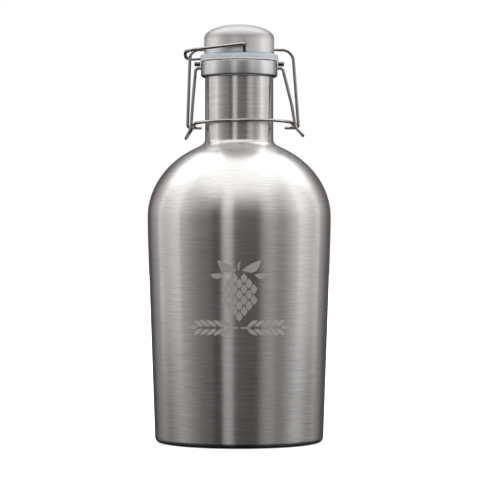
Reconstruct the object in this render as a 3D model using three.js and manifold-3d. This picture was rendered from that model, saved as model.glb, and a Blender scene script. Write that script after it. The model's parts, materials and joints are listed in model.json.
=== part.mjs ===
// A two-litre double-walled steel growler with a swing-top lid.
// Millimetres, +Z up. The bottle's axis is the Z axis and it stands on z = 0.
// The front, round which the lever's hoop passes, faces -Y.

import * as THREE from "three";
import { mergeVertices } from "three/addons/utils/BufferGeometryUtils.js";
import Module from "manifold-3d";

const wasm = await Module();
wasm.setup();

// Clearance left between pieces that touch
const GAP = 0.3;

// Bottle, outer surface
const BASE_RADIUS = 58.8;
const TAPER_TOP_RADIUS = 63.95;
const TAPER_TOP_Z = 145;
const BODY_RADIUS = 64.06;
const SHOULDER_Z = 157;
const SHOULDER_HEIGHT = 54.8;
const NECK_RADIUS = 23.9;
const NECK_TOP_Z = 264.2;
const NECK_FILLET = 5;

// Bottle, walls
const OUTER_WALL = 0.7;
const INNER_WALL = 0.6;
const VACUUM_SPACE = 3.6;
const NECK_VACUUM_SPACE = 1.2;

// Outer base: a pressed cup that stands on a flat ring
const CORNER_RADIUS = 3.5;
const REST_OUTER_RADIUS = BASE_RADIUS - CORNER_RADIUS;
const REST_INNER_RADIUS = 49.5;
const RECESS_RADIUS = 45;
const RECESS_Z = 4;
const BASE_LIP_Z = 10;
const SEAL_HOLE_RADIUS = 1.6;
const SEAL_DISC_RADIUS = 11;
const SEAL_DISC_THICKNESS = 0.6;

// Inner base and the getter under it
const INNER_BASE_Z = 12.5;
const INNER_JOINT_Z = 24;
const INNER_LIP_Z = 30;
const INNER_CORNER_RADIUS = 10;
const GETTER_RADIUS = 6;
const GETTER_THICKNESS = 2.6;
const GETTER_X = 24;
const CLIP_THICKNESS = 0.6;
const CLIP_WIDTH = 5;
const CLIP_FOOT = 3;

// Mouth and collar
const MOUTH_Z = 265.7;
const MOUTH_TONGUE = 3.2;
const COLLAR_RADIUS = 26.8;
const COLLAR_BOTTOM_Z = 254.6;
const COLLAR_CHAMFER = 0.5;
const STUD_RADIUS = 1.6;
const STUD_LENGTH = 4.3;
const STUD_Z = 264;

// Lid
const GASKET_RADIUS = 27.5;
const GASKET_BORE = 18.2;
const GASKET_SEAT_RADIUS = 22.3;
const GASKET_SEAT_Z = 268.4;
const GASKET_TOP_Z = 270.4;
const GASKET_ROUND = 0.8;
const PLUG_RADIUS = 17.9;
const PLUG_TIP_RADIUS = 15.5;
const PLUG_BOTTOM_Z = 260.2;
const PLUG_NOSE_HEIGHT = 1.6;
const PLUG_NOSE_INSET = 0.7;
const CAP_RADIUS = 24.5;
const CAP_WALL = 0.8;
const DOME_Z = 282;
const DOME_HEIGHT = 9.6;
const CORE_TOP_Z = 281;

// Wires: the pins and pivots run along X, and the retainer loop's pivot runs along Y
const WIRE_RADIUS = 1.1;
const WIRE_HOLE_RADIUS = 1.45;
const SLOT_WIDTH = 2;
const BAIL_AXIS_Z = 274;
const LEVER_AXIS_Z = 261;
const PIN_Z = 219.3;
const LOOP_AXIS_X = 3.5;
const LOOP_AXIS_Z = 276.3;
const LEVER_END_DEPTH = 2.1;
const LEVER_ELBOW_X = 30.4;
const LEVER_ELBOW_BEND = 2.2;
const LEVER_KNEE_BEND = 25;
const LEVER_EYE_BEND = 5;
const BAIL_PIN_BEND = 2.5;
const EYE_HALF_DEPTH = 2.6;
const HOOP_REACH = 25.9;
const HOOP_RISE = 1.45;
const LOOP_HALF_WIDTH = 25.9;
const LOOP_BEND_X = -23.6;
const LOOP_BEND_Z = 273.1;
const LOOP_TIP_X = -37.7;
const LOOP_TIP_Z = 271.7;
const LOOP_BACK_DROP = 3;
const LOOP_SQUARENESS = 3.6;
const LOOP_BEND = 1.5;
const LOOP_END_DEPTH = 3.5;
const LOOP_HOLE_DEPTH = 4;

// Each side of the lever and the bail. The wires are sprung out further on the right than on the left.
const LEFT = {
  sign: -1,
  kneeX: 32.6,
  kneeZ: 236,
  armX: 33.7,
  toeX: 37.2,
  toeZ: 212,
  overPinX: 31.2,
  overPinZ: 221.9,
  bailTopX: 34.3,
  bailBend: 6.5,
  bailPinX: 36.2,
  pinEndX: 26.2,
};
const RIGHT = {
  sign: 1,
  kneeX: 36.6,
  kneeZ: 236,
  armX: 39.5,
  toeX: 44.6,
  toeZ: 214,
  overPinX: 37,
  overPinZ: 222.6,
  bailTopX: 37.4,
  bailBend: 8,
  bailPinX: 41.6,
  pinEndX: 31.8,
};

// Fineness
const SHELL_SEGMENTS = 40;
const RING_SEGMENTS = 28;
const SHOULDER_STEPS = 8;
const DOME_STEPS = 6;
const WIRE_SIDES = 8;
const BEND_STEP = THREE.MathUtils.degToRad(24);
const HOOP_STEPS = 20;
const LOOP_STEPS = 14;
const CUT_OVERRUN = 5;

// Materials
const steel = new THREE.MeshStandardMaterial({ color: 0x9c9896, roughness: 0.34, metalness: 1 });
const wireSteel = new THREE.MeshStandardMaterial({ color: 0x77716d, roughness: 0.26, metalness: 1 });
const silicone = new THREE.MeshStandardMaterial({ color: 0xb4bfc6, roughness: 0.55, metalness: 0 });
const corePlastic = new THREE.MeshStandardMaterial({ color: 0x2c2c2e, roughness: 0.6, metalness: 0 });
const plugPlastic = new THREE.MeshStandardMaterial({ color: 0xe6e5df, roughness: 0.5, metalness: 0 });
const foam = new THREE.MeshStandardMaterial({ color: 0xe9dfb8, roughness: 0.9, metalness: 0 });
const getterMetal = new THREE.MeshStandardMaterial({ color: 0x5a5956, roughness: 0.8, metalness: 0.6 });
const solder = new THREE.MeshStandardMaterial({ color: 0x8a8b8d, roughness: 0.45, metalness: 1 });

// ---- Profiles: lists of [radius, height] points ----

function arc(centreRadius, centreZ, radius, fromDegrees, toDegrees, steps) {
  const points = [];
  for (let i = 0; i <= steps; i += 1) {
    const angle = THREE.MathUtils.degToRad(fromDegrees + ((toDegrees - fromDegrees) * i) / steps);
    points.push([centreRadius + radius * Math.cos(angle), centreZ + radius * Math.sin(angle)]);
  }
  return points;
}

// The side wall leans out from the base to the top of its taper.
function wallRadius(z) {
  return BASE_RADIUS + ((TAPER_TOP_RADIUS - BASE_RADIUS) * z) / TAPER_TOP_Z;
}

// One surface of the bottle from bottomZ up to the neck's top, set in by inset from the outer surface:
// the tapered wall, the elliptical shoulder, the fillet and the neck.
function bottleSurface(inset, neckRadius, bottomZ, topZ) {
  const width = BODY_RADIUS - inset;
  const height = SHOULDER_HEIGHT - inset;
  const points = [
    [wallRadius(bottomZ) - inset, bottomZ],
    [TAPER_TOP_RADIUS - inset, TAPER_TOP_Z],
  ];
  const filletRadius = neckRadius + NECK_FILLET;
  const lastAngle = Math.acos(filletRadius / width);
  for (let i = 0; i <= SHOULDER_STEPS; i += 1) {
    const angle = (lastAngle * i) / SHOULDER_STEPS;
    points.push([width * Math.cos(angle), SHOULDER_Z + height * Math.sin(angle)]);
  }
  const startZ = SHOULDER_Z + height * Math.sin(lastAngle);
  const slope = height / (width * Math.tan(lastAngle));
  const start = new THREE.Vector2(filletRadius, startZ);
  const corner = new THREE.Vector2(neckRadius, startZ + NECK_FILLET * slope);
  const end = new THREE.Vector2(neckRadius, corner.y + NECK_FILLET * 0.6);
  const fillet = new THREE.QuadraticBezierCurve(start, corner, end).getPoints(3).slice(1);
  points.push(...fillet.map((point) => [point.x, point.y]));
  points.push([neckRadius, topZ]);
  return points;
}

// A wall between an outer surface and an inner one, both listed from the bottom up.
function wall(outer, inner) {
  return [...outer, ...[...inner].reverse(), outer[0]];
}

// ---- Geometry ----

// Turns a profile about the Z axis. It runs anticlockwise: up the outside and down the inside.
function turned(profile, segments) {
  const points = profile.map(([radius, z]) => new THREE.Vector2(radius, z));
  return new THREE.LatheGeometry(points, segments).rotateX(Math.PI / 2);
}

function toSolid(geometry) {
  const flat = geometry.index ? geometry.toNonIndexed() : geometry;
  const bare = new THREE.BufferGeometry();
  bare.setAttribute("position", flat.getAttribute("position"));
  const merged = mergeVertices(bare, 1e-3);
  const vertProperties = merged.attributes.position.array;
  const triVerts = new Uint32Array(merged.index.array);
  return new wasm.Manifold(new wasm.Mesh({ numProp: 3, vertProperties, triVerts }));
}

function toGeometry(solid) {
  const mesh = solid.getMesh();
  const geometry = new THREE.BufferGeometry();
  geometry.setAttribute("position", new THREE.BufferAttribute(mesh.vertProperties, 3));
  geometry.setIndex(new THREE.BufferAttribute(mesh.triVerts, 1));
  geometry.computeVertexNormals();
  return geometry;
}

function cut(geometry, cutters) {
  let solid = toSolid(geometry);
  for (const cutter of cutters) {
    solid = solid.subtract(toSolid(cutter));
  }
  return toGeometry(solid);
}

// Rods for cutting holes, along X or Y between two ends
function rodAlongX(radius, fromX, toX, z) {
  const rod = new THREE.CylinderGeometry(radius, radius, toX - fromX, 12);
  return rod.rotateZ(Math.PI / 2).translate((fromX + toX) / 2, 0, z);
}

function rodAlongY(radius, fromY, toY, x, z) {
  const rod = new THREE.CylinderGeometry(radius, radius, toY - fromY, 12);
  return rod.translate(x, (fromY + toY) / 2, z);
}

function boxBetween(fromX, toX, fromY, toY, fromZ, toZ) {
  const box = new THREE.BoxGeometry(toX - fromX, toY - fromY, toZ - fromZ);
  return box.translate((fromX + toX) / 2, (fromY + toY) / 2, (fromZ + toZ) / 2);
}

// A curve through fixed stations, one step of an extrusion to each.
class StationCurve extends THREE.Curve {
  constructor(stations) {
    super();
    this.stations = stations;
  }

  getPoint(t, target = new THREE.Vector3()) {
    const last = this.stations.length - 1;
    const index = Math.min(Math.floor(t * last + 1e-9), last - 1);
    return target.lerpVectors(this.stations[index], this.stations[index + 1], t * last - index);
  }

  getPointAt(u, target) {
    return this.getPoint(u, target);
  }

  getTangentAt(u, target = new THREE.Vector3()) {
    const last = this.stations.length - 1;
    const index = Math.round(u * last);
    const here = this.stations[index];
    const before = this.stations[Math.max(index - 1, 0)];
    const after = this.stations[Math.min(index + 1, last)];
    const arriving = here.clone().sub(before).normalize();
    const leaving = after.clone().sub(here).normalize();
    return target.copy(arriving).add(leaving).normalize();
  }
}

// A corner of a wire's route, rounded to a bend radius. A bend of 0 keeps the point itself.
function corner(x, y, z, bend = 0) {
  return { at: new THREE.Vector3(x, y, z), bend };
}

// The stations round one corner: an arc that touches the straight runs on both sides.
function roundedCorner(before, here, after) {
  const arriving = here.at.clone().sub(before.at).normalize();
  const leaving = after.at.clone().sub(here.at).normalize();
  const turn = arriving.angleTo(leaving);
  if (here.bend === 0 || turn < 1e-3) {
    return [here.at];
  }
  const reach = here.bend * Math.tan(turn / 2);
  const start = here.at.clone().addScaledVector(arriving, -reach);
  const inward = leaving.clone().addScaledVector(arriving, -Math.cos(turn)).normalize();
  const centre = start.clone().addScaledVector(inward, here.bend);
  const steps = Math.max(2, Math.ceil(turn / BEND_STEP));
  const stations = [];
  for (let i = 0; i <= steps; i += 1) {
    const angle = (turn * i) / steps;
    const station = centre.clone().addScaledVector(inward, -here.bend * Math.cos(angle));
    stations.push(station.addScaledVector(arriving, here.bend * Math.sin(angle)));
  }
  return stations;
}

function wire(corners) {
  const stations = [corners[0].at];
  for (let i = 1; i < corners.length - 1; i += 1) {
    for (const station of roundedCorner(corners[i - 1], corners[i], corners[i + 1])) {
      if (station.distanceTo(stations[stations.length - 1]) > 0.05) {
        stations.push(station);
      }
    }
  }
  stations.push(corners[corners.length - 1].at);
  const section = new THREE.Shape();
  for (let i = 0; i < WIRE_SIDES; i += 1) {
    const angle = (2 * Math.PI * i) / WIRE_SIDES;
    const x = WIRE_RADIUS * Math.cos(angle);
    const y = WIRE_RADIUS * Math.sin(angle);
    if (i === 0) {
      section.moveTo(x, y);
    } else {
      section.lineTo(x, y);
    }
  }
  const extrudePath = new StationCurve(stations);
  return new THREE.ExtrudeGeometry(section, { steps: stations.length - 1, extrudePath });
}

// ---- Bottle ----

function outerShell() {
  const bottomZ = CORNER_RADIUS + GAP;
  const outer = bottleSurface(0, NECK_RADIUS, bottomZ, NECK_TOP_Z);
  const inner = bottleSurface(OUTER_WALL, NECK_RADIUS - OUTER_WALL, bottomZ, NECK_TOP_Z);
  return turned(wall(outer, inner), SHELL_SEGMENTS);
}

// The cup's corner is flush with the shell, and its lip stands inside the shell's lower edge.
function outerBase() {
  const lipRadius = wallRadius(CORNER_RADIUS) - OUTER_WALL - GAP;
  const lipTopRadius = wallRadius(BASE_LIP_Z) - OUTER_WALL - GAP;
  const floorZ = RECESS_Z + OUTER_WALL;
  const innerCorner = CORNER_RADIUS - OUTER_WALL;
  const innerCornerRadius = lipRadius - OUTER_WALL - innerCorner;
  const profile = [
    [SEAL_HOLE_RADIUS, RECESS_Z],
    [RECESS_RADIUS, RECESS_Z],
    [REST_INNER_RADIUS, 0],
    ...arc(REST_OUTER_RADIUS, CORNER_RADIUS, CORNER_RADIUS, -90, 0, 4),
    [lipRadius, CORNER_RADIUS],
    [lipTopRadius, BASE_LIP_Z],
    [lipTopRadius - OUTER_WALL, BASE_LIP_Z],
    ...arc(innerCornerRadius, CORNER_RADIUS, innerCorner, 0, -90, 3),
    [REST_INNER_RADIUS + OUTER_WALL / 2, OUTER_WALL],
    [RECESS_RADIUS + OUTER_WALL / 2, floorZ],
    [SEAL_HOLE_RADIUS, floorZ],
    [SEAL_HOLE_RADIUS, RECESS_Z],
  ];
  return turned(profile, SHELL_SEGMENTS);
}

// A thin disc hides the hole through which the air was drawn out.
function baseSealDisc() {
  const topZ = RECESS_Z - GAP;
  const bottomZ = topZ - SEAL_DISC_THICKNESS;
  const profile = [
    [0, bottomZ],
    [SEAL_DISC_RADIUS - SEAL_DISC_THICKNESS / 2, bottomZ],
    [SEAL_DISC_RADIUS, bottomZ + SEAL_DISC_THICKNESS / 2],
    [SEAL_DISC_RADIUS, topZ],
    [0, topZ],
  ];
  return turned(profile, RING_SEGMENTS);
}

// The bead that closes the hole, domed on top.
function vacuumSealBead() {
  const radius = SEAL_HOLE_RADIUS - GAP;
  const shoulderZ = RECESS_Z + OUTER_WALL;
  return turned([[0, RECESS_Z], [radius, RECESS_Z], ...arc(0, shoulderZ, radius, 0, 90, 3)], 16);
}

function innerFlask() {
  const inset = OUTER_WALL + VACUUM_SPACE;
  const neck = NECK_RADIUS - OUTER_WALL - NECK_VACUUM_SPACE;
  const outer = bottleSurface(inset, neck, INNER_JOINT_Z, NECK_TOP_Z);
  const inner = bottleSurface(inset + INNER_WALL, neck - INNER_WALL, INNER_JOINT_Z, NECK_TOP_Z);
  return turned(wall(outer, inner), SHELL_SEGMENTS);
}

// A round-cornered dish whose lip stands inside the flask's lower edge.
function innerBase() {
  const inset = OUTER_WALL + VACUUM_SPACE;
  const edgeZ = INNER_JOINT_Z - GAP;
  const edgeRadius = wallRadius(edgeZ) - inset;
  const lipInset = inset + INNER_WALL + GAP;
  const lipRadius = wallRadius(edgeZ) - lipInset;
  const lipTopRadius = wallRadius(INNER_LIP_Z) - lipInset;
  const cornerCentre = edgeRadius - INNER_CORNER_RADIUS;
  const innerCorner = lipRadius - INNER_WALL - cornerCentre;
  const floorZ = INNER_BASE_Z + INNER_WALL;
  const profile = [
    [0, INNER_BASE_Z],
    ...arc(cornerCentre, INNER_BASE_Z + INNER_CORNER_RADIUS, INNER_CORNER_RADIUS, -90, 0, 5),
    [edgeRadius, edgeZ],
    [lipRadius, edgeZ],
    [lipTopRadius, INNER_LIP_Z],
    [lipTopRadius - INNER_WALL, INNER_LIP_Z],
    ...arc(cornerCentre, floorZ + innerCorner, innerCorner, 0, -90, 5),
    [0, floorZ],
  ];
  return turned(profile, SHELL_SEGMENTS);
}

// A porous disc that keeps the vacuum, held up against the inner base by a sprung clip.
function getterPellet() {
  const topZ = INNER_BASE_Z - GAP;
  const pellet = new THREE.CylinderGeometry(GETTER_RADIUS, GETTER_RADIUS, GETTER_THICKNESS, 20);
  return pellet.rotateX(Math.PI / 2).translate(GETTER_X, 0, topZ - GETTER_THICKNESS / 2);
}

function getterClip() {
  const footTopZ = INNER_BASE_Z - GAP;
  const footBottomZ = footTopZ - CLIP_THICKNESS;
  const strapTopZ = footTopZ - GETTER_THICKNESS - GAP;
  const strapBottomZ = strapTopZ - CLIP_THICKNESS;
  const legInner = GETTER_RADIUS + GAP;
  const legOuter = legInner + CLIP_THICKNESS;
  const footEnd = legOuter + CLIP_FOOT;
  const section = new THREE.Shape();
  section.moveTo(-footEnd, footBottomZ);
  section.lineTo(-legOuter, footBottomZ);
  section.lineTo(-legOuter, strapBottomZ);
  section.lineTo(legOuter, strapBottomZ);
  section.lineTo(legOuter, footBottomZ);
  section.lineTo(footEnd, footBottomZ);
  section.lineTo(footEnd, footTopZ);
  section.lineTo(legInner, footTopZ);
  section.lineTo(legInner, strapTopZ);
  section.lineTo(-legInner, strapTopZ);
  section.lineTo(-legInner, footTopZ);
  section.lineTo(-footEnd, footTopZ);
  section.closePath();
  const strap = new THREE.ExtrudeGeometry(section, { depth: CLIP_WIDTH, bevelEnabled: false });
  return strap.rotateX(Math.PI / 2).translate(GETTER_X, CLIP_WIDTH / 2, 0);
}

// The rounded lip that joins both walls, with a tongue standing down between them.
function mouthRing() {
  const underZ = NECK_TOP_Z + GAP;
  const round = 0.4;
  const bore = NECK_RADIUS - OUTER_WALL - NECK_VACUUM_SPACE - INNER_WALL;
  const tongueInner = bore + INNER_WALL + GAP;
  const tongueOuter = NECK_RADIUS - OUTER_WALL - GAP;
  const tongueZ = underZ - MOUTH_TONGUE;
  const profile = [
    [tongueInner, tongueZ],
    [tongueOuter, tongueZ],
    [tongueOuter, underZ],
    [NECK_RADIUS, underZ],
    ...arc(NECK_RADIUS - round, MOUTH_Z - round, round, 0, 90, 2),
    ...arc(bore + round, MOUTH_Z - round, round, 90, 180, 2),
    [bore, underZ],
    [tongueInner, underZ],
    [tongueInner, tongueZ],
  ];
  return turned(profile, SHELL_SEGMENTS);
}

// The thick ring round the top of the neck, drilled for the lever's ends.
function neckCollar() {
  const inner = NECK_RADIUS + GAP;
  const profile = [
    [inner, COLLAR_BOTTOM_Z],
    [COLLAR_RADIUS - COLLAR_CHAMFER, COLLAR_BOTTOM_Z],
    [COLLAR_RADIUS, COLLAR_BOTTOM_Z + COLLAR_CHAMFER],
    [COLLAR_RADIUS, MOUTH_Z - COLLAR_CHAMFER],
    [COLLAR_RADIUS - COLLAR_CHAMFER, MOUTH_Z],
    [inner, MOUTH_Z],
    [inner, COLLAR_BOTTOM_Z],
  ];
  const reach = COLLAR_RADIUS + CUT_OVERRUN;
  const drill = rodAlongX(WIRE_HOLE_RADIUS, -reach, reach, LEVER_AXIS_Z);
  return cut(turned(profile, SHELL_SEGMENTS), [drill]);
}

// A round stud on the collar above each lever end.
function stud(side) {
  const edge = 0.4;
  const profile = [
    [0, 0],
    [STUD_RADIUS, 0],
    [STUD_RADIUS, STUD_LENGTH - edge],
    [STUD_RADIUS - edge, STUD_LENGTH],
    [0, STUD_LENGTH],
  ];
  const geometry = turned(profile, 20).rotateY((side.sign * Math.PI) / 2);
  return geometry.translate(side.sign * (COLLAR_RADIUS + GAP), 0, STUD_Z);
}

// ---- Swing-top wires ----

// Half of the lever: from its end in the collar down the arm in front of the pin, round the toe,
// up behind the pin and over it.
function leverHalf(side) {
  const x = (value) => side.sign * value;
  const depth = EYE_HALF_DEPTH;
  const kneeY = (-depth * (LEVER_AXIS_Z - side.kneeZ)) / (LEVER_AXIS_Z - PIN_Z);
  return [
    corner(x(COLLAR_RADIUS - LEVER_END_DEPTH), 0, LEVER_AXIS_Z),
    corner(x(LEVER_ELBOW_X), 0, LEVER_AXIS_Z, LEVER_ELBOW_BEND),
    corner(x(side.kneeX), kneeY, side.kneeZ, LEVER_KNEE_BEND),
    corner(x(side.armX), -depth, PIN_Z, LEVER_EYE_BEND),
    corner(x(side.toeX), -depth, side.toeZ, depth),
    corner(x(side.toeX), depth, side.toeZ, depth),
    corner(x(side.overPinX), depth, side.overPinZ, depth - 0.1),
  ];
}

// The hoop runs round the front of the neck, half an ellipse from one eye to the other.
function hoop() {
  const centreX = (RIGHT.overPinX - LEFT.overPinX) / 2;
  const reachX = (RIGHT.overPinX + LEFT.overPinX) / 2;
  const centreZ = (RIGHT.overPinZ + LEFT.overPinZ) / 2;
  const lean = (RIGHT.overPinZ - LEFT.overPinZ) / 2;
  const points = [];
  for (let i = 0; i <= HOOP_STEPS; i += 1) {
    const angle = Math.PI * (1 - i / HOOP_STEPS);
    const x = centreX + reachX * Math.cos(angle);
    const y = -HOOP_REACH * Math.sin(angle);
    const z = centreZ + lean * Math.cos(angle) + HOOP_RISE * Math.sin(angle);
    points.push(corner(x, y, z));
  }
  return points;
}

function leverWire() {
  return wire([...leverHalf(LEFT), ...hoop(), ...leverHalf(RIGHT).reverse()]);
}

// Half of the bail: a pin through the lever's eye, an arm, and a shoulder at the lid.
function bailHalf(side) {
  return [
    corner(side.sign * side.pinEndX, 0, PIN_Z),
    corner(side.sign * side.bailPinX, 0, PIN_Z, BAIL_PIN_BEND),
    corner(side.sign * side.bailTopX, 0, BAIL_AXIS_Z, side.bailBend),
  ];
}

function bailWire() {
  return wire([...bailHalf(LEFT), ...bailHalf(RIGHT).reverse()]);
}

// The loop's ends turn in the lid. It passes round the outside of the bail's left shoulder, and hangs
// lower at the back than at the front.
function retainerLoop() {
  const endY = CAP_RADIUS - LOOP_END_DEPTH;
  const reachX = LOOP_BEND_X - LOOP_TIP_X;
  const dropZ = LOOP_BEND_Z - LOOP_TIP_Z;
  const route = [
    corner(LOOP_AXIS_X, -endY, LOOP_AXIS_Z),
    corner(LOOP_AXIS_X, -LOOP_HALF_WIDTH, LOOP_AXIS_Z, LOOP_BEND),
  ];
  for (let i = 0; i <= LOOP_STEPS; i += 1) {
    const angle = Math.PI * (i / LOOP_STEPS - 0.5);
    const outward = Math.max(Math.cos(angle), 0) ** (2 / LOOP_SQUARENESS);
    const along = Math.sign(Math.sin(angle)) * Math.abs(Math.sin(angle)) ** (2 / LOOP_SQUARENESS);
    const x = LOOP_BEND_X - reachX * outward;
    const z = LOOP_BEND_Z - dropZ * outward - (LOOP_BACK_DROP * (1 + along)) / 2;
    route.push(corner(x, LOOP_HALF_WIDTH * along, z));
  }
  route.push(corner(LOOP_AXIS_X, LOOP_HALF_WIDTH, LOOP_AXIS_Z, LOOP_BEND));
  route.push(corner(LOOP_AXIS_X, endY, LOOP_AXIS_Z));
  return wire(route);
}

// ---- Lid ----

// The dome's surface from its edge up to the axis, set in by inset from the outside.
function dome(inset) {
  const points = [];
  for (let i = 0; i < DOME_STEPS; i += 1) {
    const angle = ((Math.PI / 2) * i) / DOME_STEPS;
    const radius = (CAP_RADIUS - inset) * Math.cos(angle);
    points.push([radius, DOME_Z + (DOME_HEIGHT - inset) * Math.sin(angle)]);
  }
  points.push([0, DOME_Z + DOME_HEIGHT - inset]);
  return points;
}

// A domed cap, with a keyhole for each wire that lets it drop over them.
function lidCap() {
  const skirtZ = GASKET_TOP_Z + GAP;
  const outer = [[CAP_RADIUS, skirtZ], ...dome(0)];
  const inner = [[CAP_RADIUS - CAP_WALL, skirtZ], ...dome(CAP_WALL)];
  const reach = CAP_RADIUS + CUT_OVERRUN;
  const half = SLOT_WIDTH / 2;
  const belowZ = skirtZ - CUT_OVERRUN;
  const keyholes = [
    rodAlongX(WIRE_HOLE_RADIUS, -reach, reach, BAIL_AXIS_Z),
    boxBetween(-reach, reach, -half, half, belowZ, BAIL_AXIS_Z),
    rodAlongY(WIRE_HOLE_RADIUS, -reach, reach, LOOP_AXIS_X, LOOP_AXIS_Z),
    boxBetween(LOOP_AXIS_X - half, LOOP_AXIS_X + half, -reach, reach, belowZ, LOOP_AXIS_Z),
  ];
  return cut(turned([...inner.reverse(), ...outer], SHELL_SEGMENTS), keyholes);
}

// The moulded core fills the cap's skirt. Its two halves meet at the bail's axis and close round the
// bail, and the loop's ends turn in the upper half.
function coreHalf(bottomZ, topZ) {
  const radius = CAP_RADIUS - CAP_WALL - GAP;
  const body = new THREE.CylinderGeometry(radius, radius, topZ - bottomZ, SHELL_SEGMENTS);
  body.rotateX(Math.PI / 2).translate(0, 0, (topZ + bottomZ) / 2);
  const reach = radius + CUT_OVERRUN;
  const holeEnd = CAP_RADIUS - LOOP_HOLE_DEPTH;
  return cut(body, [
    rodAlongX(WIRE_HOLE_RADIUS, -reach, reach, BAIL_AXIS_Z),
    rodAlongY(WIRE_HOLE_RADIUS, -reach, -holeEnd, LOOP_AXIS_X, LOOP_AXIS_Z),
    rodAlongY(WIRE_HOLE_RADIUS, holeEnd, reach, LOOP_AXIS_X, LOOP_AXIS_Z),
  ]);
}

function lidInsulation() {
  const bottomZ = CORE_TOP_Z + GAP;
  const inset = CAP_WALL + GAP;
  return turned([[0, bottomZ], [CAP_RADIUS - inset, bottomZ], ...dome(inset)], SHELL_SEGMENTS);
}

// The tapered plug enters the mouth, and its flange lies in the gasket's seat.
function lidPlug() {
  const topZ = GASKET_TOP_Z;
  const flangeZ = GASKET_SEAT_Z + GAP;
  const flangeRadius = GASKET_SEAT_RADIUS - GAP;
  const profile = [
    [0, PLUG_BOTTOM_Z],
    [PLUG_TIP_RADIUS, PLUG_BOTTOM_Z],
    [PLUG_RADIUS - PLUG_NOSE_INSET, PLUG_BOTTOM_Z + PLUG_NOSE_HEIGHT],
    [PLUG_RADIUS, MOUTH_Z],
    [PLUG_RADIUS, flangeZ],
    [flangeRadius, flangeZ],
    [flangeRadius, topZ],
    [0, topZ],
  ];
  return turned(profile, RING_SEGMENTS);
}

function lidGasket() {
  const bottomZ = MOUTH_Z + GAP;
  const round = GASKET_RADIUS - GASKET_ROUND;
  const profile = [
    [GASKET_BORE, bottomZ],
    ...arc(round, bottomZ + GASKET_ROUND, GASKET_ROUND, -90, 0, 3),
    ...arc(round, GASKET_TOP_Z - GASKET_ROUND, GASKET_ROUND, 0, 90, 3),
    [GASKET_SEAT_RADIUS, GASKET_TOP_Z],
    [GASKET_SEAT_RADIUS, GASKET_SEAT_Z],
    [GASKET_BORE, GASKET_SEAT_Z],
    [GASKET_BORE, bottomZ],
  ];
  return turned(profile, SHELL_SEGMENTS);
}

// ---- Assembly ----

function piece(name, geometry, material) {
  const mesh = new THREE.Mesh(geometry, material);
  mesh.name = name;
  return mesh;
}

const bottle = new THREE.Group();
bottle.add(
  piece("outer_shell", outerShell(), steel),
  piece("outer_base", outerBase(), steel),
  piece("base_seal_disc", baseSealDisc(), steel),
  piece("vacuum_seal_bead", vacuumSealBead(), solder),
  piece("inner_flask", innerFlask(), steel),
  piece("inner_base", innerBase(), steel),
  piece("getter_pellet", getterPellet(), getterMetal),
  piece("getter_clip", getterClip(), steel),
  piece("mouth_ring", mouthRing(), steel),
  piece("neck_collar", neckCollar(), steel),
  piece("stud_left", stud(LEFT), wireSteel),
  piece("stud_right", stud(RIGHT), wireSteel),
);

const swingTop = new THREE.Group();
swingTop.add(
  piece("lever_wire", leverWire(), wireSteel),
  piece("bail_wire", bailWire(), wireSteel),
);

const lid = new THREE.Group();
lid.add(
  piece("lid_cap", lidCap(), steel),
  piece("lid_core", coreHalf(BAIL_AXIS_Z + GAP / 2, CORE_TOP_Z), corePlastic),
  piece("lid_core_clamp", coreHalf(GASKET_TOP_Z + GAP, BAIL_AXIS_Z - GAP / 2), corePlastic),
  piece("lid_insulation", lidInsulation(), foam),
  piece("lid_plug", lidPlug(), plugPlastic),
  piece("lid_gasket", lidGasket(), silicone),
  piece("retainer_loop", retainerLoop(), wireSteel),
);

const growler = new THREE.Group();
growler.add(bottle, swingTop, lid);

export default growler;
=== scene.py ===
"""The looks of a swing-top growler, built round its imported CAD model. Metres, +Z up, front towards -Y."""
import json
import math

import bmesh
import bpy
from mathutils import Matrix, Vector


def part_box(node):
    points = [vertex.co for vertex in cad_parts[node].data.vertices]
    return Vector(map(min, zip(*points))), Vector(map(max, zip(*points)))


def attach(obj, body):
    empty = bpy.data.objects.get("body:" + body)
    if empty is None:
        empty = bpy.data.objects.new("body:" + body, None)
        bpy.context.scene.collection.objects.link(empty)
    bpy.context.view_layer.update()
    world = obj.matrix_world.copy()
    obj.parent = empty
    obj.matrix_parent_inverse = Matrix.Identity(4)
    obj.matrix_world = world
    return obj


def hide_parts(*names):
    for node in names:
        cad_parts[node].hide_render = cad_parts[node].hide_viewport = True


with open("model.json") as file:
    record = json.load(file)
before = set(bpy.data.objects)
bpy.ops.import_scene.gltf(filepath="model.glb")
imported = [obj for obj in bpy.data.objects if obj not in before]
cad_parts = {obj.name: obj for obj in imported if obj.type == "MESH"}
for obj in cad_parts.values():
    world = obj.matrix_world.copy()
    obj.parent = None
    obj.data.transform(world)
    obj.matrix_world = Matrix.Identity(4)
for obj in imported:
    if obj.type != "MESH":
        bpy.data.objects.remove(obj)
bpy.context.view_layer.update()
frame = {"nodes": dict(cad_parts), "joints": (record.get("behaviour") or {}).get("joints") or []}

MM = 0.001
GAP = 0.3 * MM

# ---- Sizes read from the frame ----

SHELL_LOW, SHELL_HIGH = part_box("outer_shell")
_, BASE_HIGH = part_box("outer_base")
DISC_LOW, DISC_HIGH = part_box("base_seal_disc")
_, RING_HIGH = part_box("mouth_ring")
COLLAR_LOW, COLLAR_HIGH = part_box("neck_collar")
STUD_LOW, STUD_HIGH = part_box("stud_right")
GASKET_LOW, GASKET_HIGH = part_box("lid_gasket")
PLUG_LOW, PLUG_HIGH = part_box("lid_plug")
CAP_LOW, CAP_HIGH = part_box("lid_cap")
INSULATION_LOW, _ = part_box("lid_insulation")
FLASK_LOW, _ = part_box("inner_flask")
INNER_BASE_LOW, INNER_BASE_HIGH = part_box("inner_base")
LOOP_LOW, LOOP_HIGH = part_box("retainer_loop")
PIVOT = {joint["name"]: Vector(joint["pos_m"]) for joint in frame["joints"]}

# ---- Shape sizes that the boxes don't give ----

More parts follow.
